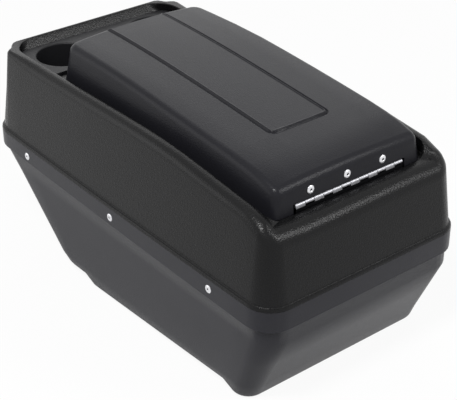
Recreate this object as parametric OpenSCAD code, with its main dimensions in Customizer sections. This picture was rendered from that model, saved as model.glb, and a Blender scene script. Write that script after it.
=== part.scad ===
// Center console: a deep storage box formed from two sheets of plastic, an upper shell over a lower tub,
// riveted together along a belt. A crowned lid swings on a piano hinge at the rear, and a tray
// with two cup wells drops into the recess at the front.
// X runs across, Y forwards to the cup wells, Z up. The origin is on the floor, under the middle.

/* [Body] */
// Width over the belt at its ends
body_w = 288; // [270:1:310]
// Length over the belt
body_l = 550; // [530:1:580]
// How far each long side bows outward at its middle
side_bow = 1.3; // [0:0.1:3]
// Radius of the belt's rear corners, seen from above
corner_r = 32; // [26:1:38]
// Radius of the belt's front corners, seen from above
front_corner_r = 38; // [30:1:44]
// How much more the shell's front corners round off towards the rim, as a share of the wall's inset
front_soften = 0.6; // [0:0.05:0.6]
// Thickness of the formed sheet
sheet = 3.5; // [2.5:0.1:4]

/* [Belt] */
// Height of the seam between shell and tub
seam_z = 143; // [135:1:150]
// How far the belt stands out from the wall above it
belt_out = 3; // [2:0.1:4]
// Height of the shell's bead above the seam
bead_h = 4; // [3:0.5:6]
// Depth of the shell's skirt below the seam
skirt_h = 18; // [17:0.5:18.5]
// Height of the tub's band at the front end
band_front_h = 20; // [19.5:0.5:24]
// Height of the tub's band at the rear end
band_rear_h = 25; // [22:1:30]
// How far the tub steps in under its band
band_step = 3; // [1:0.1:3]
// Gap between pieces that fit into each other
fit_gap = 0.3; // [0.2:0.05:0.5]

/* [Rim] */
// Slope of the shell's walls from upright, in degrees
shell_draft = 5.5; // [4:0.5:7]
// Height of the rim above the recess floor at the front
rim_front_h = 12.6; // [11:0.1:15]
// How far the rim's arch rises from there to its top
rim_arch = 4.7; // [3:0.1:8]
// Height of the rim above the recess floor at the rear corners
rim_corner_h = 12.2; // [10:0.1:13]
// Height of the rim above the recess floor behind the hinge
rim_hinge_h = 0.8; // [0.4:0.1:1.4]
// Radius of the rim's outer edge
rim_r = 12; // [8:1:14]
// Radius of the rim's outer edge behind the hinge
rim_rear_r = 19; // [12:1:20]
// Width of the rim from its outer face to the recess
rim_w = 14; // [13:0.5:18]
// Radius of the rim's outer edge at the front
rim_front_r = 4; // [3.6:0.1:4.5]
// Width of the rim from its outer face to the middle of the front slope
rim_front_w = 10.2; // [10:0.1:12]
// How far the recess's front wall slopes to each side of its middle height
front_slope = 3.5; // [2:0.5:3.5]
// Radius of the recess's corners
recess_r = 16; // [15:1:18]
// How much wider the recess's front corners open than the slope between them
corner_open = 2; // [1.6:0.1:2.2]

/* [Recess] */
// Height of the recess floor above the seam at the front
floor_h = 95.7; // [90:0.1:100]
// How far the recess floor falls to the rear
floor_fall = 12.3; // [12:0.1:14]
// Width of the ledge beside the opening
ledge_w = 13; // [10:1:16]
// Depth of the flange that turns down round the opening
flange_h = 24; // [23:1:28]

/* [Tub] */
// How far the bottom's sides lie inside the belt at the front
tub_front_in = 3; // [2.5:0.5:6]
// How far the bottom's sides lie inside the belt at the rear
tub_rear_in = 11.5; // [7:0.5:14]
// Radius of the bottom's front corners, seen from above
tub_corner_r = 28; // [22:1:32]
// Radius of the bottom's rear corners, seen from above
tub_rear_corner_r = 20; // [16:1:21]
// How far the front wall rakes back from the belt to the bottom
front_rake = 151; // [140:1:155]
// How far the rear wall slopes forward below the bend
rear_slope = 45; // [36:1:46]
// Height of the bend in the rear wall
rear_bend_z = 98; // [90:1:108]
// Radius of the bottom's outer edge
bottom_r = 9; // [7:1:12]
// Height of the ledge under the front of the bottom
front_ledge_z = 7.5; // [5:0.5:10]
// Height of the bottom just ahead of the rear foot
arch_z = 7; // [5:0.5:9]
// Length of the rear foot
foot_l = 22; // [20:1:26]
// Length of the ledge ahead of the front edge, with the ramp up to it
ledge_l = 66; // [60:1:72]

/* [Lid] */
// Width of the lid at its bottom edge
lid_w = 211; // [206:1:213]
// Gap between the lid's front edge and the tray
lid_gap = 7.5; // [5:0.5:10]
// Slope of the lid's walls from upright, in degrees
lid_draft = 9; // [7:0.5:10]
// Height of the lid's top above the rim, both at the front
lid_rise = 36.7; // [32:0.1:40]
// How far the lid's top falls from front to rear before it rounds over
lid_fall = 22; // [18:1:24]
// How far the lid's top falls from the middle to each side at its front edge
lid_crown = 5; // [3:0.5:6]
// The same at the middle of the lid's length
lid_crown_mid = 1; // [0:0.5:3]
// The same at the lid's rear edge
lid_crown_rear = 3; // [1:0.5:3]
// How far each long side of the lid bows outward at its middle
lid_bow = 1.5; // [0:0.1:2]
// Radius of the lid's top edge
lid_edge_r = 9; // [6:1:9]
// Radius of the lid's corners, seen from above
lid_corner_r = 15; // [12:1:16]
// Radius of the lid's rear corners, seen from above
lid_rear_corner_r = 9.5; // [9.2:0.1:12]
// Thickness of the lid's sheet
lid_sheet = 2.5; // [2:0.1:3]
// Width of the raised panel
panel_w = 80; // [70:1:90]
// Distance from the lid's rear edge to the panel's end
panel_rear = 80; // [76:1:90]
// Height of the raised panel
panel_h = 1.2; // [0.6:0.1:1.5]
// Width of the groove round the panel
groove_w = 2.2; // [1.5:0.1:3]
// Depth of the groove round the panel
groove_h = 0.8; // [0.4:0.1:1]

/* [Hinge] */
// Height of the hinge pin above the recess floor
hinge_h = 7.6; // [7.5:0.1:7.8]
// Length of one knuckle
knuckle_l = 12.7; // [12:0.1:13]
// Number of knuckles
knuckle_n = 12; // [10:2:12]
// Outer diameter of a knuckle
knuckle_d = 4.8; // [4.6:0.1:5]
// Diameter of the pin
pin_d = 2.4; // [2:0.1:2.6]
// Thickness of a hinge leaf
leaf_t = 1; // [0.8:0.1:1.2]
// Margin of each leaf outside its rivet heads
leaf_margin = 0.5; // [0.2:0.1:0.8]
// Gap between neighbouring knuckles
knuckle_gap = 0.2; // [0.1:0.05:0.3]
// Play of the pin in the knuckles, all round
pin_play = 0.05; // [0.03:0.01:0.08]
// Lean of the lid's rear wall from upright, in degrees
leaf_lean = 5; // [4:0.5:6]

/* [Rivets] */
// Diameter of a rivet's head
head_d = 9.6; // [9:0.1:10.5]
// Height of a rivet's head
head_h = 1.3; // [1:0.1:1.5]
// Diameter of a rivet's shank
shank_d = 4.8; // [4.4:0.1:5]
// Diameter of the hole left by the mandrel
mandrel_d = 2.6; // [2:0.1:3]
// Outer diameter of a backing washer
washer_d = 9; // [8:0.5:10]
// Thickness of a backing washer
washer_t = 1.2; // [1:0.1:1.5]
// Spacing of the rivets along the hinge
hinge_pitch = 50.8; // [48:0.1:52]
// Shift of the hinge's rivets from its middle
hinge_shift = -4.6; // [-5:0.1:5]
// Distance of the lid's rivets from the pin
lid_rivet_h = 12.2; // [11.5:0.1:12.5]
// Spacing of the rivets along the belt
belt_pitch = 184; // [176:1:190]
// Place of the middle belt rivets ahead of the body's middle
belt_mid_y = 3; // [-6:1:8]
// Depth of the belt rivets below the seam
belt_rivet_drop = 12; // [10:0.5:13]

/* [Cup wells] */
// Inner radius of a cup well
cup_r = 34; // [33:0.5:34.5]
// Depth of a cup well
cup_depth = 64; // [55:1:75]
// Distance of each well from the middle
cup_x = 70; // [68:1:72]
// Distance of the wells' middles from the tray's front edge
cup_in = 40.5; // [40:0.5:42]
// Thickness of the tray
tray_t = 3; // [2.5:0.1:3]
// Length of the tray
tray_l = 82.5; // [80:0.5:84]
// Gap round each well in the recess floor
well_gap = 2; // [1:0.5:3]
// Radius of the edge at the mouth of a well
cup_lip_r = 2; // [1:0.5:2.5]

/* [Floor bolts] */
// Diameter of each floor bolt's hole
bolt_hole_d = 7; // [6:0.5:9]
// Spacing of the floor bolts across
bolt_x = 180; // [150:5:200]
// Spacing of the floor bolts along
bolt_y = 250; // [240:1:255]
// Distance of the rear floor bolts from the belt's rear face
bolt_in = 61; // [59:1:63]

/* [Hidden] */
$fn = 64;
// Steps of each corner's quarter turn, seen from above
arc_n = 7;
// Air left between faces that touch
touch = 0.05;
// The pin lies this far ahead of the belt's rear face
hinge_in = 38;
// The lid's notch for the knuckles: room beside and above them, and how far its cut runs past the wall
notch_side = 3;
notch_over = 0.8;
notch_past = 5;
// The rim's arch starts this far in from the front, peaks and starts to fall at these places along Y, and
// would end its fall this far behind the rear face
rim_rise_in = 60;
rim_peak_y = -60;
rim_fall_y = -50;
rim_fall_past = 25;
// The rim's dip behind the hinge: where it blends into the sides, where it starts and ends, and how both lean
dip_blend = 20;
dip_start = 25;
dip_end = 1.7;
dip_start_lean = 0.3;
dip_end_lean = 1.2;
// Height over which the recess's inner edge gets its full rounding
edge_room = 4;
// The recess floor starts to rise this far in from the rear, and is level from this place along Y
floor_rise_in = 45;
floor_level_y = 40;
// Inset of the recess wall's foot, and how far the floor runs on under the tray's rear edge
recess_foot = 1;
tray_seat = 22;
// The lid's top is level over this length at the front, and falls with this power behind it
lid_level_l = 35;
lid_fall_power = 1.4;
// The lid's top rolls over from this far ahead of its rear edge to this far behind it
lid_roll_in = 45;
lid_roll_out = 30;
// The front crown starts at this place along Y, and the rear crown ends this far in
crown_front_y = 20;
crown_rear_l = 80;
// Share of the lid's draft that its sides have at the rear
lid_rear_lean = 0.7;

// Planes of the belt and of the wall above it
belt_hw = body_w / 2;
rear_y = -body_l / 2;
front_y = body_l / 2;
wall_hw = belt_hw - belt_out;
wall_rear = rear_y + belt_out;
wall_front = front_y - belt_out;
bead_z = seam_z + bead_h;
skirt_in = sheet + fit_gap;
// Heights of the recess floor, the rim, the pin and the lid
floor_front_z = seam_z + floor_h;
floor_rear_z = floor_front_z - floor_fall;
rim_front_z = floor_front_z + rim_front_h;
rim_peak_z = rim_front_z + rim_arch;
rim_corner_z = floor_rear_z + rim_corner_h;
rim_hinge_z = floor_rear_z + rim_hinge_h;
hinge_z = floor_rear_z + hinge_h;
lid_front_z = rim_front_z + lid_rise;
hinge_y = rear_y + hinge_in;
// Recess in the shell's top, and the opening in its floor
recess_hw = wall_hw - (rim_peak_z - bead_z) * tan(shell_draft) - rim_w;
recess_rear = hinge_y - knuckle_d / 2 - fit_gap;
recess_front = wall_front - (rim_front_z - bead_z) * tan(shell_draft) - rim_front_w;
// The tray fills the recess's front, and the lid reaches almost to it
tray_front_y = recess_front - front_slope - recess_foot - fit_gap;
tray_rear_y = tray_front_y - tray_l;
cup_y = tray_front_y - cup_in;
opening_hw = recess_hw - ledge_w;
opening_front = tray_rear_y - tray_seat;
// The lid's outline at its bottom edge, and how far its walls lean in up to the rounded top edge
lid_hw = lid_w / 2;
lid_rear = hinge_y + knuckle_d / 2 - leaf_t - fit_gap - lid_sheet;
lid_front = tray_rear_y - lid_gap;
lid_l = lid_front - lid_rear;
lid_in_front = (lid_front_z - lid_edge_r - floor_front_z) * tan(lid_draft);
lid_in_rear = (lid_front_z - lid_fall - lid_edge_r - floor_rear_z) * lid_rear_lean * tan(lid_draft);
panel_hw = panel_w / 2;
panel_end = lid_rear + panel_rear;
hinge_l = knuckle_l * knuckle_n;
// The corner under the recess floor drops this far, and the body leaf's rivets lie just under it
floor_corner = 0.5;
flange_rivet_h = hinge_z - floor_rear_z + sheet + floor_corner + fit_gap + washer_d / 2;
leaf_w = flange_rivet_h + head_d / 2 + leaf_margin;
lid_leaf_w = lid_rivet_h + head_d / 2 + leaf_margin;
// The bottom: its half widths, and the places along Y where its foot ends and its front edge begins and ends
tub_front_hw = belt_hw - tub_front_in;
tub_rear_hw = belt_hw - tub_rear_in;
foot_y = rear_y + rear_slope + foot_l;
foot_ramp = 18;
edge_front_y = front_y - front_rake - ledge_l;
edge_rear_y = edge_front_y - 10;
edge_ramp = 18;
bolt_rear_y = rear_y + bolt_in;

// Smooth step from 0 to 1 as t goes from a to b
function ease(t, a, b) = let (u = min(1, max(0, (t - a) / (b - a)))) u * u * (3 - 2 * u);
function mix(a, b, u) = a + (b - a) * u;

// The rim arches from the front to a peak, falls to the rear corners and dips behind the hinge
function rim_side(y) = mix(rim_front_z, rim_peak_z, ease(-y, rim_rise_in - front_y, -rim_peak_y))
    - (rim_peak_z - rim_corner_z) * ease(-y, -rim_fall_y, rim_fall_past - rear_y);
function rear_dip(x, y) = let (out = max(0, abs(x) - recess_hw + dip_blend))
    ease(-y, -recess_rear - dip_start + dip_start_lean * out, -recess_rear - dip_end + dip_end_lean * out);
function rim_z(x, y) = mix(rim_side(y), rim_hinge_z, rear_dip(x, y));
// Share of the inner edge's rounding that fits where the rim is hardly higher than the recess floor
function edge_part(x, y) = min(1, (rim_z(x, y) - floor_z(y)) / edge_room);
// The recess floor is level at the front and falls towards the hinge
function floor_z(y) = mix(floor_rear_z, floor_front_z, ease(y, rear_y + floor_rise_in, floor_level_y));
// The bottom stands on a rear foot and a front edge, with a raised run between them and a ledge ahead
function bottom_z(y) =
    y < foot_y + foot_ramp ? arch_z * ease(y, foot_y, foot_y + foot_ramp) :
    y < edge_rear_y ? arch_z * (edge_rear_y - y) / (edge_rear_y - foot_y - foot_ramp) :
    front_ledge_z * ease(y, edge_front_y, edge_front_y + edge_ramp);
// The lid's top before its edges are rounded: it falls to the rear, rounds over and is crowned across
function lid_top(x, y) = lid_front_z
    - lid_fall * pow(max(0, (lid_front - lid_level_l - y) / (lid_l - lid_level_l)), lid_fall_power)
    - lid_edge_r * (1 - ease(y, lid_rear - lid_roll_out, lid_rear + lid_roll_in))
    - (mix(lid_crown_mid, lid_crown, ease(y, crown_front_y, lid_front)) + (lid_crown_rear - lid_crown_mid)
        * (1 - ease(y, lid_rear, lid_rear + crown_rear_l))) * pow(x / (lid_hw - lid_edge_r), 2);
// Height added by the raised panel and taken by the groove round it
function panel_z(x, y) = let (out = max(abs(x) - panel_hw, panel_end - y))
    out > groove_w ? 0 : out > 0 ? -groove_h : panel_h;

// The right half of a rounded outline, from rear to front. Its side bows outward, keeps its places along Y
// up to the last of fixed, and shares out the rest.
function half_line(hw_r, hw_f, yr, yf, r, rf, bow, fixed) =
    let (hw = function (y) mix(hw_r, hw_f, (y - yr) / (yf - yr)), ya = yr + r, yb = yf - rf,
        last = fixed[len(fixed) - 1])
    concat(
        [for (i = [0:arc_n]) let (a = -90 + 90 * i / arc_n, y = yr + r + r * sin(a))
            [hw(y) - r + r * cos(a), y]],
        [for (y = concat(fixed, [for (i = [1:3]) mix(last, yb, i / 4)]))
            [hw(y) + bow * 4 * (y - ya) * (yb - y) / pow(yb - ya, 2), y]],
        [for (i = [0:arc_n]) let (a = 90 * i / arc_n, y = yb + rf * sin(a)) [hw(y) - rf + rf * cos(a), y]]);
// One level of a body: the right half, columns across the front, the left half back, columns across the rear
function level(half, height, columns = []) = let (m = len(half), k = len(columns)) [for (p = concat(
    half,
    [for (x = columns) [x, half[m - 1].y]],
    [for (i = [m - 1:-1:0]) [-half[i].x, half[i].y]],
    [for (x = columns) [-x, half[0].y]])) [p.x, p.y, height(p.x, p.y)]];

// Triangles between neighbouring levels of n points each
function wall_faces(count, n) = [for (j = [0:count - 2], i = [0:n - 1], t = [0, 1])
    let (a = j * n + i, b = j * n + (i + 1) % n, c = a + n, d = b + n) t == 0 ? [a, c, b] : [b, c, d]];
// Index of column c in row i of a cover that closes a level: m rows, k columns, inner points from grid on
function cover_point(first, grid, m, k, i, c) =
    c == 0 ? first + i :
    c == k + 1 ? first + 2 * m + k - 1 - i :
    i == m - 1 ? first + m + c - 1 :
    i == 0 ? first + 2 * m + 2 * k - c :
    grid + (i - 1) * k + c - 1;
function cover_faces(first, grid, m, k, up) = [for (i = [0:m - 2], c = [0:k], t = [0, 1])
    let (p = cover_point(first, grid, m, k, i, c), q = cover_point(first, grid, m, k, i + 1, c),
        r = cover_point(first, grid, m, k, i, c + 1), s = cover_point(first, grid, m, k, i + 1, c + 1),
        f = t == 0 ? [p, q, r] : [q, s, r]) up ? [f[0], f[2], f[1]] : f];

// A body whose levels run round a loop, such as a hollow rim with an opening through it
module loft_loop(levels) {
    n = len(levels[0]);
    count = len(levels);
    closing = [for (i = [0:n - 1], t = [0, 1])
        let (a = (count - 1) * n + i, b = (count - 1) * n + (i + 1) % n, c = i, d = (i + 1) % n)
        t == 0 ? [a, c, b] : [b, c, d]];
    polyhedron([for (l = levels, p = l) p], concat(wall_faces(count, n), closing), convexity = 8);
}

// A body whose first and last levels are closed by covers, such as a tub or a lid
module loft_covered(levels, columns, first_height, last_height) {
    n = len(levels[0]);
    k = len(columns);
    m = n / 2 - k;
    count = len(levels);
    last = levels[count - 1];
    grid = count * n;
    rows = m - 2;
    inner = function (l, height) [for (i = [1:rows], x = columns) [x, l[i].y, height(x, l[i].y)]];
    polyhedron(concat([for (l = levels, p = l) p], inner(levels[0], first_height), inner(last, last_height)),
        concat(wall_faces(count, n), cover_faces(0, grid, m, k, true),
            cover_faces((count - 1) * n, grid + rows * k, m, k, false)), convexity = 8);
}

// Places along the shell's long sides, and across its ends
shell_fixed = [for (i = [0:9]) mix(recess_rear + recess_r + 2, opening_front - recess_r - 6, i / 9)];
shell_columns = [for (i = [2:-1:-2]) i * (recess_hw - ledge_w - recess_r) / 2.2];
function flat(z) = function (x, y) z;
// A level of the belt and of the straight walls, inset by d
function belt_level(d, height) = level(
    half_line(belt_hw - d, belt_hw - d, rear_y + d, front_y - d, corner_r - d, front_corner_r - d, side_bow,
        shell_fixed),
    height, shell_columns);
// A level of the recess, inset by d, except at the rear where its wall runs straight down into the flange.
// Its front wall slopes, and stands slope ahead of its middle height's place.
function recess_level(d, slope, height) = level(
    half_line(recess_hw - d, recess_hw - d, recess_rear + min(d, 0), recess_front - d + slope,
        recess_r - d, recess_r - d + corner_open * (slope + front_slope), 0, shell_fixed),
    height, shell_columns);
// A level of the opening in the recess floor, inset by d, and by rear_d at the recess's own rear wall
function opening_level(d, rear_d, height) = level(
    half_line(opening_hw - d, opening_hw - d, recess_rear + rear_d, opening_front - d,
        recess_r - d, recess_r - d, 0, shell_fixed),
    height, shell_columns);
// Moves a point of the wall's foot inward by d, square to the outline of the sides, the ends or the corners
function wall_inset(p, d) = let (r = (p.y < 0 ? corner_r : front_corner_r) - belt_out,
    cx = wall_hw - r, ax = abs(p.x), s = sign(p.x),
    cy = p.y < 0 ? wall_rear + r : wall_front - r, dx = (ax - cx) / r, dy = (p.y - cy) / r,
    k = r - d * (1 + (p.y < 0 ? 0 : front_soften * pow(2 * dx * dy, 2))))
    dy * sign(p.y) <= 0 ? [s * (ax - d), p.y] :
    dx < -0.001 ? [p.x, p.y - sign(p.y) * d] : [s * (cx + dx * k), cy + dy * k];
// The rim's edge is softer behind the hinge and tighter at the front
function rim_edge_r(y) = y < 0 ? mix(rim_r, rim_rear_r, ease(-y, -rear_y - 50, -wall_rear)) :
    mix(rim_r, rim_front_r, ease(y, front_y - 90, front_y - 20));
// A level of the rim's rounded edge, at angle a up from the wall's top and shrunk inward by depth. Each point
// leans in by its own height.
function rim_level(a, depth) = [for (p = belt_level(belt_out, flat(0)))
    let (r = rim_edge_r(p.y), crest = wall_inset(p, rim_w + 5), top = rim_z(crest.x, crest.y),
        q = wall_inset(p, (top - bead_z) * tan(shell_draft) + r - (r - depth) * cos(a)))
    [q.x, q.y, top - r + (r - depth) * sin(a)]];

// X of the belt's outer face at a place along Y
function belt_x(y) = let (ya = rear_y + corner_r, yb = front_y - front_corner_r)
    belt_hw + side_bow * 4 * (y - ya) * (yb - y) / pow(yb - ya, 2);
// Frames for the rivets: each child lies with its head's underside on the surface, and +Z outward
module at_belt(side, i) {
    y = belt_mid_y + i * belt_pitch;
    translate([side * (belt_x(y) + touch), y, seam_z - belt_rivet_drop]) rotate([0, side * 90, 0]) children();
}
module at_lid_wall(i) {
    translate([i * hinge_pitch + hinge_shift, hinge_y, hinge_z]) rotate([-leaf_lean, 0, 0])
        translate([0, lid_rear - hinge_y - touch, lid_rivet_h]) rotate([90, 0, 0]) children();
}
module at_flange(i) {
    y = hinge_y - knuckle_d / 2 + leaf_t + touch;
    translate([i * hinge_pitch + hinge_shift, y, hinge_z - flange_rivet_h]) rotate([-90, 0, 0]) children();
}
belt_grip = sheet + skirt_in + 2 * touch;
lid_grip = knuckle_d / 2 - (lid_rear - hinge_y) + touch;
flange_grip = sheet + leaf_t + fit_gap + 2 * touch;

// A blind rivet: domed head, hollow shank through the grip and the washer, and the tail that holds it
module rivet(grip) {
    tail = grip + washer_t + touch;
    rotate_extrude() polygon([
        [mandrel_d / 2, head_h * 0.75], [mandrel_d / 2 + 0.4, head_h], [head_d * 0.3, head_h],
        [head_d * 0.42, head_h * 0.75], [head_d * 0.49, head_h * 0.35], [head_d / 2, 0], [shank_d / 2, 0],
        [shank_d / 2, -tail], [shank_d * 0.72, -tail - 0.3], [shank_d * 0.78, -tail - 1.8],
        [shank_d * 0.66, -tail - 3.4], [mandrel_d / 2, -tail - 4]]);
}
module washer(grip) {
    translate([0, 0, -grip - washer_t]) difference() {
        cylinder(d = washer_d, h = washer_t);
        translate([0, 0, -1]) cylinder(d = shank_d + 2 * touch, h = washer_t + 2);
    }
}
module rivet_hole() {
    translate([0, 0, -12]) cylinder(d = shank_d + 2 * touch, h = 16);
}

// The upper shell: skirt, bead, sloped walls, arched rim, recess and the flange round the opening
module upper_shell() {
    outer = concat([
        belt_level(skirt_in, flat(seam_z - skirt_h)),
        belt_level(skirt_in, flat(seam_z)),
        belt_level(0, flat(seam_z)),
        belt_level(0, flat(bead_z - 2)),
        belt_level(0.9, flat(bead_z - 0.5)),
        belt_level(belt_out - 0.6, flat(bead_z)),
        belt_level(belt_out, flat(bead_z + 0.8))],
        [for (a = [0:18:90]) rim_level(a, 0)]);
    recess = [
        recess_level(-1.4, front_slope, function (x, y) rim_z(x, y) - 0.3 * edge_part(x, y)),
        recess_level(-0.4, front_slope, function (x, y) rim_z(x, y) - 1.2 * edge_part(x, y)),
        recess_level(0, 0, function (x, y) mix(rim_z(x, y), floor_z(y), 0.5)),
        recess_level(0.5, -front_slope, function (x, y) floor_z(y) + 0.3),
        recess_level(recess_foot, -front_slope, function (x, y) floor_z(y)),
        opening_level(-0.8, 0, function (x, y) floor_z(y) - 0.1),
        opening_level(0, 0, function (x, y) floor_z(y) - 1),
        opening_level(0.1, 0, function (x, y) floor_z(y) - flange_h)];
    inside = concat([
        opening_level(-sheet, -sheet, function (x, y) floor_z(y) - flange_h),
        opening_level(-sheet - 0.2, -sheet, function (x, y) floor_z(y) - sheet - floor_corner),
        recess_level(-sheet * 0.8, -front_slope, function (x, y) floor_z(y) - sheet)],
        [for (a = [60, 30, 0]) rim_level(a, sheet)],
        [belt_level(belt_out + sheet, flat(bead_z)),
        belt_level(skirt_in + sheet, flat(seam_z - 3)),
        belt_level(skirt_in + sheet, flat(seam_z - skirt_h))]);
    color("#2c2c2e") difference() {
        loft_loop(concat(outer, recess, inside));
        for (side = [-1, 1], i = [-1:1]) at_belt(side, i) rivet_hole();
        for (i = [-1:1]) at_flange(i) rivet_hole();
        for (side = [-1, 1]) translate([side * cup_x, cup_y, floor_front_z - 15])
            cylinder(r = cup_r + tray_t + well_gap, h = 20);
    }
}

// Height of the lower edge of the tub's band
function band_z(y) = seam_z - mix(band_rear_h, band_front_h, (y - rear_y) / body_l);
// A level of the tub, at the outline that its walls have at height z, inset by d
function tub_level(z, d, height) =
    let (u = min(1, z / (seam_z - band_front_h)), step = z < band_z(front_y) - step_start ? band_step : 0,
        top_hw = belt_hw - step)
    level(half_line(mix(tub_rear_hw, top_hw, u) - d, mix(tub_front_hw, top_hw, u) - d,
        rear_y + step + rear_slope * max(0, 1 - z / rear_bend_z) + d,
        front_y - step - front_rake * (1 - u) - d * (u < 1 ? rake_part : 1),
        mix(tub_rear_corner_r, corner_r, u) - d, mix(tub_corner_r, front_corner_r, u) - d, side_bow * u,
        tub_fixed),
        height);
// Share by which the raked front wall is thicker along Y than square to itself
rake_part = 1.25;
// Heights of the levels below the band, and the level just under the band
tub_levels = [bottom_r + 12, 60, rear_bend_z];
below_band_z = seam_z - band_front_h - 2;
// Depths below the band's lower edge where the outer and the inner face's steps start and end
step_start = 1;
step_end = 4;
inner_step_start = 1.5;
inner_step_end = 7;
// Places along the tub's long sides, with the ends of the foot and of the front edge among them
tub_fixed = concat([foot_y, foot_y + foot_ramp / 2],
    [for (i = [0:4]) mix(foot_y + foot_ramp, edge_rear_y, i / 4)],
    [edge_front_y, edge_front_y + edge_ramp / 2, edge_front_y + edge_ramp]);

// The lower tub: band, raked front, sloped rear and stepped bottom
module lower_tub() {
    top = seam_z - fit_gap;
    inside = concat(
        [for (a = [90, 60, 30]) tub_level(bottom_r, bottom_r - (bottom_r - sheet) * cos(a),
            function (x, y) bottom_z(y) + bottom_r - (bottom_r - sheet) * sin(a))],
        [for (z = tub_levels) tub_level(z, sheet, flat(z))],
        [tub_level(below_band_z, sheet, function (x, y) band_z(y) - inner_step_end),
        tub_level(seam_z, sheet, function (x, y) band_z(y) - inner_step_start),
        tub_level(seam_z, sheet, flat(top))]);
    outside = concat(
        [tub_level(seam_z, 0, flat(top)),
        tub_level(seam_z, 0, function (x, y) band_z(y)),
        tub_level(seam_z, band_step * 0.35, function (x, y) band_z(y) - step_start),
        tub_level(below_band_z, 0, function (x, y) band_z(y) - step_end)],
        [for (i = [len(tub_levels) - 1:-1:0]) tub_level(tub_levels[i], 0, flat(tub_levels[i]))],
        [for (a = [22, 45, 68, 90]) tub_level(bottom_r, bottom_r * (1 - cos(a)),
            function (x, y) bottom_z(y) + bottom_r * (1 - sin(a)))]);
    color("#39393c") difference() {
        loft_covered(concat(inside, outside), [], flat(0), flat(0));
        for (side = [-1, 1], i = [-1:1]) at_belt(side, i) rivet_hole();
        for (side = [-1, 1], y = [bolt_rear_y, bolt_rear_y + bolt_y])
            translate([side * bolt_x / 2, y, -1]) cylinder(d = bolt_hole_d, h = 25);
    }
}

// Places along the lid's long sides, close together where the panel ends
lid_fixed = concat([lid_rear + 19, lid_rear + 32, lid_rear + 50],
    [panel_end - groove_w - 0.5, panel_end - groove_w + 0.1, panel_end - 0.1, panel_end + 0.7],
    [for (i = [1:6]) mix(panel_end, lid_front - 40, i / 6)]);
// Places across the lid, close together at the panel's sides
lid_half_columns = [mix(panel_hw, lid_hw, 0.46), panel_hw + groove_w + 0.5, panel_hw + groove_w - 0.1,
    panel_hw + 0.1, panel_hw - 0.7, panel_hw / 2];
lid_columns = concat(lid_half_columns, [0], [for (i = [5:-1:0]) -lid_half_columns[i]]);
// A level of the lid: t runs from 0 at the bottom edge to 1 at the top of the walls, and d is the inset
function lid_level(t, d, height) =
    let (rear_top_z = lid_top(0, lid_rear) - lid_edge_r,
        rear = lid_rear + (t * rear_top_z + (1 - t) * floor_rear_z - hinge_z) * tan(leaf_lean))
    level(half_line(lid_hw - t * lid_in_rear - d, lid_hw - t * lid_in_front - d, rear + d,
        lid_front - t * lid_in_front / 2 - d, lid_rear_corner_r - d, lid_corner_r - d, lid_bow, lid_fixed),
        height, lid_columns);

// The lid: leaning walls, a rounded top edge, and a crowned top with the raised panel
module lid_shell() {
    bottom = function (x, y) floor_z(y) + fit_gap;
    inner_top = function (x, y) lid_top(x, y) - lid_sheet;
    outer_top = function (x, y) lid_top(x, y) + panel_z(x, y);
    inner_r = lid_edge_r - lid_sheet;
    inside = concat(
        [for (a = [90, 60, 30, 0]) lid_level(1, lid_edge_r - inner_r * cos(a),
            function (x, y) lid_top(x, y) - lid_edge_r + inner_r * sin(a))],
        [lid_level(0, lid_sheet, bottom)]);
    outside = concat(
        [lid_level(0, 0, bottom)],
        [for (a = [0:22.5:90]) lid_level(1, lid_edge_r * (1 - cos(a)),
            function (x, y) (a < 90 ? lid_top(x, y) : outer_top(x, y)) - lid_edge_r * (1 - sin(a)))]);
    color("#454549") difference() {
        loft_covered(concat(inside, outside), lid_columns, inner_top, outer_top);
        // Notch for the knuckles
        translate([-hinge_l / 2 - notch_side, lid_rear - notch_past, floor_rear_z - notch_past])
            cube([hinge_l + 2 * notch_side, knuckle_d + notch_past,
                hinge_z + knuckle_d / 2 + notch_over - floor_rear_z + notch_past]);
        for (i = [-1:1]) at_lid_wall(i) rivet_hole();
    }
}

// The drop-in tray: a flat sheet with two round wells
module cup_tray() {
    top = floor_front_z + fit_gap + tray_t;
    half_w = recess_hw - recess_foot - fit_gap;
    front = tray_front_y;
    corner = recess_r + 2;
    outline = function (s) [s * (half_w - corner), front - corner];
    well = cup_r + tray_t;
    color("#1f1f21") difference() {
        union() {
            translate([0, 0, top - tray_t]) linear_extrude(tray_t) union() {
                translate([-half_w, tray_rear_y]) square([2 * half_w, front - corner - tray_rear_y]);
                translate([corner - half_w, tray_rear_y])
                    square([2 * (half_w - corner), front - tray_rear_y]);
                for (s = [-1, 1]) translate(outline(s)) circle(r = corner);
            }
            for (s = [-1, 1]) translate([s * cup_x, cup_y, top]) rotate_extrude()
                polygon(concat([[0, -cup_depth - tray_t]],
                    [for (a = [-90:15:0]) [well - 8 + 8 * cos(a), -cup_depth - tray_t + 8 + 8 * sin(a)]],
                    [[well, -tray_t / 2], [0, -tray_t / 2]]));
        }
        for (s = [-1, 1]) translate([s * cup_x, cup_y, top]) rotate_extrude() polygon(concat(
            [[0, -cup_depth]],
            [for (a = [-90:15:0]) [cup_r - 6 + 6 * cos(a), -cup_depth + 6 + 6 * sin(a)]],
            [for (a = [0:15:90]) [cup_r + cup_lip_r * (1 - cos(a)), cup_lip_r * (sin(a) - 1)]],
            [[cup_r + cup_lip_r, 1], [0, 1]]));
    }
}

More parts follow.
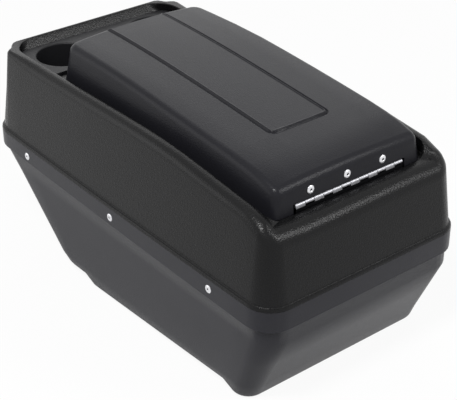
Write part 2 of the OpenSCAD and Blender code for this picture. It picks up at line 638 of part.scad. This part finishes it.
// One hinge leaf seen with its plate hanging down from the pin, with every second knuckle from start on
module leaf(start, width, rivet_h) {
    skin = knuckle_d / 2;
    difference() {
        union() {
            translate([-hinge_l / 2, -skin, -width]) cube([hinge_l, leaf_t, width - skin - fit_gap]);
            for (i = [start:2:knuckle_n - 1])
                translate([-hinge_l / 2 + i * knuckle_l + knuckle_gap / 2, 0, 0]) {
                    rotate([0, 90, 0]) cylinder(d = knuckle_d, h = knuckle_l - knuckle_gap);
                    translate([0, -skin, -skin - fit_gap])
                        cube([knuckle_l - knuckle_gap, leaf_t, skin + fit_gap]);
                }
        }
        translate([-hinge_l / 2 - 1, 0, 0]) rotate([0, 90, 0])
            cylinder(d = pin_d + 2 * pin_play, h = hinge_l + 2);
        for (i = [-1:1]) translate([i * hinge_pitch + hinge_shift, 0, -rivet_h]) rotate([90, 0, 0])
            cylinder(d = shank_d + 2 * touch, h = 10, center = true);
    }
}
module hinge_leaf_body() color("silver") translate([0, hinge_y, hinge_z]) leaf(0, leaf_w, flange_rivet_h);
module hinge_leaf_lid() color("silver") translate([0, hinge_y, hinge_z]) rotate([180 - leaf_lean, 0, 0])
    leaf(1, lid_leaf_w, lid_rivet_h);
module hinge_pin() color("silver") translate([-hinge_l / 2, hinge_y, hinge_z]) rotate([0, 90, 0])
    cylinder(d = pin_d, h = hinge_l);

module lid_rivet(i) color("silver") at_lid_wall(i) rivet(lid_grip);
module hinge_rivet(i) color("silver") at_flange(i) rivet(flange_grip);
module belt_rivet(side, i) color("silver") at_belt(side, i) rivet(belt_grip);
module lid_rivet_washers() color("silver") for (i = [-1:1]) at_lid_wall(i) washer(lid_grip);
module hinge_rivet_washers() color("silver") for (i = [-1:1]) at_flange(i) washer(flange_grip);
module belt_rivet_washers() color("silver")
    for (side = [-1, 1], i = [-1:1]) at_belt(side, i) washer(belt_grip);

upper_shell();
lower_tub();
cup_tray();
lid_shell();
hinge_leaf_lid();
hinge_leaf_body();
hinge_pin();
lid_rivet(-1);  // lid_rivet_left
lid_rivet(0);  // lid_rivet_centre
lid_rivet(1);  // lid_rivet_right
lid_rivet_washers();
hinge_rivet(-1);  // hinge_rivet_left
hinge_rivet(0);  // hinge_rivet_centre
hinge_rivet(1);  // hinge_rivet_right
hinge_rivet_washers();
belt_rivet(-1, 1);  // belt_rivet_left_front
belt_rivet(-1, 0);  // belt_rivet_left_middle
belt_rivet(-1, -1);  // belt_rivet_left_rear
belt_rivet(1, 1);  // belt_rivet_right_front
belt_rivet(1, 0);  // belt_rivet_right_middle
belt_rivet(1, -1);  // belt_rivet_right_rear
belt_rivet_washers();
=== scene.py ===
# A deep center console for a car: two formed plastic shells riveted along a belt, a hinged lid and a
# tray with two cup wells. Everything is in metres and stands on the floor at Z = 0.
from math import radians

import bmesh
import bpy
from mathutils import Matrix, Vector


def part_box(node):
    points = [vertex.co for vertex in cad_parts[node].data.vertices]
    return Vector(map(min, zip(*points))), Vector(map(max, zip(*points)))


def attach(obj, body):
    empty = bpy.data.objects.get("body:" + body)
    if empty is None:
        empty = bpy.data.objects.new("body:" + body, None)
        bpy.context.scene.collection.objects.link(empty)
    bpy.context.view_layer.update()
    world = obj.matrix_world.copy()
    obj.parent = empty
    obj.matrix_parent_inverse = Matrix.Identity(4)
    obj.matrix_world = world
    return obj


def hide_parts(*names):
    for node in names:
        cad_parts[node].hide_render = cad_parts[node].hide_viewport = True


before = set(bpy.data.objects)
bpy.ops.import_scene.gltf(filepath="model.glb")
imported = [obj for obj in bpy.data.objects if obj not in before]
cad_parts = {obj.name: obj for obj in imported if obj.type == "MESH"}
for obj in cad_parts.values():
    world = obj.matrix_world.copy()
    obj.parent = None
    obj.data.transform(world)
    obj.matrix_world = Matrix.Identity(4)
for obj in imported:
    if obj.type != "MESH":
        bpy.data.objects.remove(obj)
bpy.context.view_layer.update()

# Camera: a short telephoto, above and behind the console's left rear corner.
# Its sensor is 36 mm wide, and the picture is taken to be 457 x 400.
camera_data = bpy.data.cameras.new("camera")
camera_data.sensor_width = 36.0
camera_data.lens = 101.48
camera = bpy.data.objects.new("camera", camera_data)
camera.location = (-0.82398, -1.06695, 0.91285)
camera.rotation_euler = Vector((0.53420, 0.66973, -0.51584)).to_track_quat("-Z", "Y").to_euler()
bpy.context.scene.collection.objects.link(camera)
bpy.context.scene.camera = camera
bpy.context.scene.view_settings.view_transform = "Standard"


# Studio: white paper under and behind the object, lit by large soft boxes.
# The paper looks white to the camera and in reflections, and the lamps stay at a plain level.
def add_node(tree, kind, settings=None, links=None):
    node = tree.nodes.new(kind)
    for name, value in (settings or {}).items():
        if isinstance(name, int) or name in node.inputs:
            node.inputs[name].default_value = value
        else:
            setattr(node, name, value)
    for name, source in (links or {}).items():
        tree.links.new(source, node.inputs[name])
    return node


def linear(text, alpha=1.0):
    values = [int(text[i:i + 2], 16) / 255 for i in (0, 2, 4)]
    return [v / 12.92 if v <= 0.04045 else ((v + 0.055) / 1.055) ** 2.4 for v in values] + [alpha]


def seen_directly(tree):
    path = add_node(tree, "ShaderNodeLightPath")
    both = add_node(tree, "ShaderNodeMath", {"operation": "MAXIMUM"},
                    {0: path.outputs["Is Camera Ray"], 1: path.outputs["Is Glossy Ray"]})
    return add_node(tree, "ShaderNodeMath", {"operation": "MAXIMUM"},
                    {0: both.outputs[0], 1: path.outputs["Is Transmission Ray"]}).outputs[0]


world = bpy.data.worlds.new("studio")
bpy.context.scene.world = world
world.use_nodes = True
sky = world.node_tree
sky.nodes.clear()
seen = seen_directly(sky)
# The room's own light is a fifth of the white that is seen
strength = add_node(sky, "ShaderNodeMapRange", {"To Min": 0.2, "To Max": 1.0}, {"Value": seen})
backdrop = add_node(sky, "ShaderNodeBackground", {"Color": linear("ffffff")},
                    {"Strength": strength.outputs["Result"]})
add_node(sky, "ShaderNodeOutputWorld", links={"Surface": backdrop.outputs[0]})

paper = bpy.data.materials.new("matte_white_paper")
paper.use_nodes = True
sheet = paper.node_tree
sheet.nodes.clear()
# Paper fibres are about 1.1 mm long
fibre = add_node(sheet, "ShaderNodeTexNoise", {"Scale": 900.0},
                 {"Vector": add_node(sheet, "ShaderNodeTexCoord").outputs["Object"]})
tint = add_node(sheet, "ShaderNodeMix", {"data_type": "RGBA"}, {"Factor": fibre.outputs["Fac"]})
tint.inputs["A"].default_value = linear("eeeeee")
tint.inputs["B"].default_value = linear("f6f6f6")
matte = add_node(sheet, "ShaderNodeBsdfDiffuse", links={"Color": tint.outputs["Result"]})
white = add_node(sheet, "ShaderNodeEmission", {"Color": linear("ffffff"), "Strength": 1.0})
# The last 7 percent keeps the object's shadow on the paper
share = add_node(sheet, "ShaderNodeMath", {"operation": "MULTIPLY", 1: 0.93}, {0: seen_directly(sheet)})
look = add_node(sheet, "ShaderNodeMixShader",
                links={0: share.outputs[0], 1: matte.outputs[0], 2: white.outputs[0]})
add_node(sheet, "ShaderNodeOutputMaterial", links={"Surface": look.outputs[0]})

ground = bmesh.new()
bmesh.ops.create_grid(ground, x_segments=1, y_segments=1, size=6.0)
floor_mesh = bpy.data.meshes.new("studio_floor")
ground.to_mesh(floor_mesh)
ground.free()
floor = bpy.data.objects.new("studio_floor", floor_mesh)
floor_mesh.materials.append(paper)
bpy.context.scene.collection.objects.link(floor)

# The large lamp stands ahead of the lid and lights its top, and the last two light the rim's rounding
for name, place, aim, size, power in (
        ("soft_box_top", (1.2, 1.7, 1.8), (0, 0, 0.25), 2.0, 12.0),
        ("soft_box_left", (-2.2, 1.8, 0.9), (0, 0, 0.15), 1.7, 12.0),
        ("soft_box_rear", (1.2, -1.9, 1.8), (0, 0, 0.2), 0.8, 26.0),
        ("soft_box_near", (-1.0, -0.5, 1.9), (0, -0.2, 0.2), 0.45, 30.0)):
    lamp_data = bpy.data.lights.new(name, "AREA")
    lamp_data.shape = "SQUARE"
    lamp_data.size = size
    lamp_data.energy = power
    lamp = bpy.data.objects.new(name, lamp_data)
    lamp.location = place
    lamp.rotation_euler = (Vector(aim) - Vector(place)).to_track_quat("-Z", "Y").to_euler()
    bpy.context.scene.collection.objects.link(lamp)


# Upper shell: one sheet of black ABS, drawn over a mould, with an arched rim and a recessed top.
# The bead above the seam and the rim are its stiffeners. Its outer face carries a fine haircell grain.
def new_material(name):
    material = bpy.data.materials.new(name)
    material.use_nodes = True
    material.node_tree.nodes.clear()
    return material


def grained_plastic(name, dark, light, roughness, sheen, grain_mm, grain_depth_mm):
    """Formed ABS: near-black, with a satin sheen broken by haircells of grain_mm."""
    material = new_material(name)
    tree = material.node_tree
    place = add_node(tree, "ShaderNodeTexCoord").outputs["Object"]
    cells = add_node(tree, "ShaderNodeTexVoronoi", {"feature": "F1", "Scale": 1000.0 / grain_mm},
                     {"Vector": place})
    # Folds a little over two cells long
    folds = add_node(tree, "ShaderNodeTexNoise", {"Scale": 1000.0 / (2.2 * grain_mm), "Detail": 3.0},
                     {"Vector": place})
    relief = add_node(tree, "ShaderNodeMath", {"operation": "MULTIPLY_ADD", 1: 0.15},
                      {0: folds.outputs["Fac"], 2: cells.outputs["Distance"]})
    bump = add_node(tree, "ShaderNodeBump", {"Strength": 1.0, "Distance": grain_depth_mm / 1000},
                    {"Height": relief.outputs[0]})
    # Slow changes over 60 mm, as the stretched sheet's grain opens and closes
    drift = add_node(tree, "ShaderNodeTexNoise", {"Scale": 1000.0 / 60, "Detail": 2.0}, {"Vector": place})
    tone = add_node(tree, "ShaderNodeMix", {"data_type": "RGBA"}, {"Factor": drift.outputs["Fac"]})
    tone.inputs["A"].default_value = linear(dark)
    tone.inputs["B"].default_value = linear(light)
    gloss = add_node(tree, "ShaderNodeMapRange", {"To Min": roughness - 0.05, "To Max": roughness + 0.05},
                     {"Value": folds.outputs["Fac"]})
    shader = add_node(tree, "ShaderNodeBsdfPrincipled", {"IOR": 1.54, "Specular IOR Level": sheen},
                      {"Base Color": tone.outputs["Result"], "Roughness": gloss.outputs["Result"],
                       "Normal": bump.outputs["Normal"]})
    add_node(tree, "ShaderNodeOutputMaterial", links={"Surface": shader.outputs[0]})
    return material


def smooth_piece(name, node, material, body, sharp_deg, even=True):
    """The CAD node's own shape as one joined mesh, smooth up to sharp_deg. even keeps flat faces flat."""
    form = bmesh.new()
    form.from_mesh(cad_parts[node].data)
    bmesh.ops.remove_doubles(form, verts=form.verts, dist=0.00001)
    bmesh.ops.dissolve_degenerate(form, edges=form.edges, dist=0.000005)
    for face in form.faces:
        face.smooth = True
    for edge in form.edges:
        edge.smooth = len(edge.link_faces) == 2 and edge.calc_face_angle(0.0) < radians(sharp_deg)
    mesh = bpy.data.meshes.new(name)
    form.to_mesh(mesh)
    form.free()
    mesh.materials.clear()
    mesh.materials.append(material)
    piece = bpy.data.objects.new(name, mesh)
    bpy.context.scene.collection.objects.link(piece)
    if even:
        shading = piece.modifiers.new("even_shading", "WEIGHTED_NORMAL")
        shading.keep_sharp = True
    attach(piece, body)
    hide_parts(node)
    return piece


shell_abs = grained_plastic("abs_sheet_vacuum_formed", "0b0b0c", "0f0f10", 0.27, 0.17, 1.5, 0.18)
smooth_piece("shell_skin", "upper_shell", shell_abs, "console", 38)

# Lower tub: a second sheet of the same ABS, drawn into its mould, with a raked front and a stepped bottom.
# Its band laps over the shell's skirt.
tub_abs = grained_plastic("abs_sheet_drawn", "242429", "2a2a2f", 0.34, 0.16, 1.5, 0.12)
smooth_piece("tub_skin", "lower_tub", tub_abs, "console", 38, even=False)

# Lid: a thinner ABS sheet with a crowned top and rounded edges. Its raised panel is drawn in the same
# pressing: a soft ridge runs round it, and a narrow groove outside that, both turning on rounded corners.
lid_abs = grained_plastic("abs_lid_sheet", "1c1c20", "212125", 0.3, 0.11, 1.5, 0.12)
lid_skin = smooth_piece("lid_skin", "lid_shell", lid_abs, "lid", 50, even=False)
panel_half, panel_end, panel_corner = 0.040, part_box("lid_shell")[0][1] + 0.0807, 0.007
# Points whose normals rise above this belong to the lid's top
top_facing = 0.3
# The solid's own square-cornered panel and groove are levelled first
plain_height, plain_groove_width, plain_groove_depth, slack = 0.0012, 0.0022, 0.0008, 0.00005
press = bmesh.new()
press.from_mesh(lid_skin.data)
press.normal_update()
for vert in press.verts:
    if vert.normal.z > top_facing:
        outside = max(abs(vert.co.x) - panel_half, panel_end - vert.co.y)
        if outside < slack:
            vert.co.z -= plain_height
        elif outside < plain_groove_width + slack:
            vert.co.z += plain_groove_depth


def cut_top(place, along, reach):
    """Cuts the top's faces that reach accepts, in the plane through place and square to along."""
    faces = [f for f in press.faces if f.normal.z > 0.5 and reach(f.calc_center_median())]
    parts = {e for f in faces for e in f.edges} | {v for f in faces for v in f.verts} | set(faces)
    bmesh.ops.bisect_plane(press, geom=list(parts), dist=0.000001, plane_co=place, plane_no=along)


# Cuts 0.6 mm apart give the ridge, the groove and the corners enough points
cut_pitch, cut_margin = 0.0006, 0.02
for step in range(-7, 9):
    for side in (-1, 1):
        cut_top((side * (panel_half + step * cut_pitch), 0, 0), (1, 0, 0),
                lambda c: c.y > panel_end - cut_margin)
for step in range(-7, 16):
    cut_top((0, panel_end + step * cut_pitch, 0), (0, 1, 0),
            lambda c: abs(c.x) < panel_half + cut_margin)

# The plateau's height and the run of its edge, and the height, place and half width of ridge and groove.
# Places are measured outward from the panel's outline.
plateau_rise, plateau_run = 0.0007, 0.001
ridge_rise, ridge_place, ridge_half = 0.0009, -0.0013, 0.0019
groove_fall, groove_place, groove_half = 0.0018, 0.0014, 0.0018


def smooth_step(share):
    return share * share * (3 - 2 * share)


def press_height(x, y):
    """What the pressing adds to the top's height at a place."""
    across = max(abs(x) - panel_half + panel_corner, 0)
    back = max(panel_end + panel_corner - y, 0)
    inner = max(abs(x) - panel_half + panel_corner, panel_end + panel_corner - y)
    gap = (across * across + back * back) ** 0.5 + min(inner, 0) - panel_corner
    ridge = max(0.0, 1 - abs(gap - ridge_place) / ridge_half)
    groove = max(0.0, 1 - abs(gap - groove_place) / groove_half)
    plateau = min(1.0, max(0.0, -gap / plateau_run))
    return plateau_rise * plateau + ridge_rise * smooth_step(ridge) - groove_fall * smooth_step(groove)


for vert in press.verts:
    if vert.normal.z > top_facing:
        vert.co.z += press_height(vert.co.x, vert.co.y)
for face in press.faces:
    face.smooth = True
press.to_mesh(lid_skin.data)
press.free()

# Cup tray: a flat sheet dropped into the front of the recess, drawn down into two round wells.
tray_abs = grained_plastic("abs_tray_sheet", "1a1a1c", "202022", 0.45, 0.15, 1.6, 0.08)
smooth_piece("tray_skin", "cup_tray", tray_abs, "console", 38)


# Piano hinge: rolled steel strip on a plain rod, with zinc-plated knuckles, and plates coloured near-black
# as painted shade for the dark gap under the knuckles.
# The rolling leaves fine draw lines along the strip.
def bright_metal(name, dark, light, roughness, line_mm, direction):
    """A plated or drawn metal with fine lines line_mm apart that run along direction."""
    material = new_material(name)
    tree = material.node_tree
    place = add_node(tree, "ShaderNodeTexCoord").outputs["Object"]
    # Each line is about 33 times as long as it is wide
    stretch = [1000.0 / line_mm * (0.03 if axis == direction else 1.0) for axis in "XYZ"]
    drawn = add_node(tree, "ShaderNodeMapping", {"Scale": stretch}, {"Vector": place})
    lines = add_node(tree, "ShaderNodeTexNoise", {"Scale": 1.0, "Detail": 2.0},
                     {"Vector": drawn.outputs[0]})
    tone = add_node(tree, "ShaderNodeMix", {"data_type": "RGBA"}, {"Factor": lines.outputs["Fac"]})
    tone.inputs["A"].default_value = linear(dark)
    tone.inputs["B"].default_value = linear(light)
    gloss = add_node(tree, "ShaderNodeMapRange", {"To Min": roughness - 0.08, "To Max": roughness + 0.08},
                     {"Value": lines.outputs["Fac"]})
    bump = add_node(tree, "ShaderNodeBump", {"Strength": 0.3, "Distance": 0.00002},
                    {"Height": lines.outputs["Fac"]})
    shader = add_node(tree, "ShaderNodeBsdfPrincipled", {"Metallic": 1.0},
                      {"Base Color": tone.outputs["Result"], "Roughness": gloss.outputs["Result"],
                       "Normal": bump.outputs["Normal"]})
    add_node(tree, "ShaderNodeOutputMaterial", links={"Surface": shader.outputs[0]})
    return material


zinc = bright_metal("steel_zinc_plated", "9c9ca0", "b8b8bc", 0.46, 0.5, "X")
# Near-black painted shade for the hinge plates: it stands in for the shadowed gap under the knuckles, not
# for a finish of the steel
hinge_plate_painted_shade = bright_metal("steel_plate_painted_shade", "161618", "202022", 0.5, 0.5, "X")
pin_low, pin_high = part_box("hinge_pin")
hinge_axis = (Vector(pin_low) + Vector(pin_high)) / 2
knuckle_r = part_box("hinge_leaf_body")[1][2] - hinge_axis.z


def is_knuckle_end(edge):
    """An edge between a knuckle's end face and its round outside, clear of the leaf's plate."""
    return (len(edge.link_faces) == 2
            and sum(abs(f.normal.x) > 0.99 for f in edge.link_faces) == 1
            and min(v.co.z for v in edge.verts) > hinge_axis.z - knuckle_r - 0.0002
            and min((v.co - hinge_axis).yz.length for v in edge.verts) > 0.9 * knuckle_r)


for name, node, body in (("hinge_leaf_upper", "hinge_leaf_lid", "lid"),
                         ("hinge_leaf_lower", "hinge_leaf_body", "console")):
    leaf = smooth_piece(name, node, zinc, body, 38)
    knuckles = bmesh.new()
    knuckles.from_mesh(leaf.data)
    # Bevelled ends of 0.7 mm make the joints between the knuckles show
    bmesh.ops.bevel(knuckles, geom=[e for e in knuckles.edges if is_knuckle_end(e)], offset=0.0007,
                    segments=1, profile=0.5, affect="EDGES", material=-1)
    for face in knuckles.faces:
        face.smooth = True
    knuckles.to_mesh(leaf.data)
    knuckles.free()
    # The plate starts a little outside the knuckles, and from there on it gets the near-black painted
    # shade
    leaf.data.materials.append(hinge_plate_painted_shade)
    for face in leaf.data.polygons:
        if (face.center - hinge_axis).yz.length > 1.3 * knuckle_r:
            face.material_index = 1
smooth_piece("hinge_rod", "hinge_pin", zinc, "console", 38)

# Blind rivets: aluminium, with domed heads that show the dark hole of the broken mandrel.
rivet_alloy = bright_metal("aluminium_headed", "d2d2d5", "ececef", 0.28, 0.6, "Z")
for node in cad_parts:
    if "rivet" in node:
        body = "lid" if node.startswith("lid") else "console"
        smooth_piece(node + "_piece", node, rivet_alloy, body, 38)
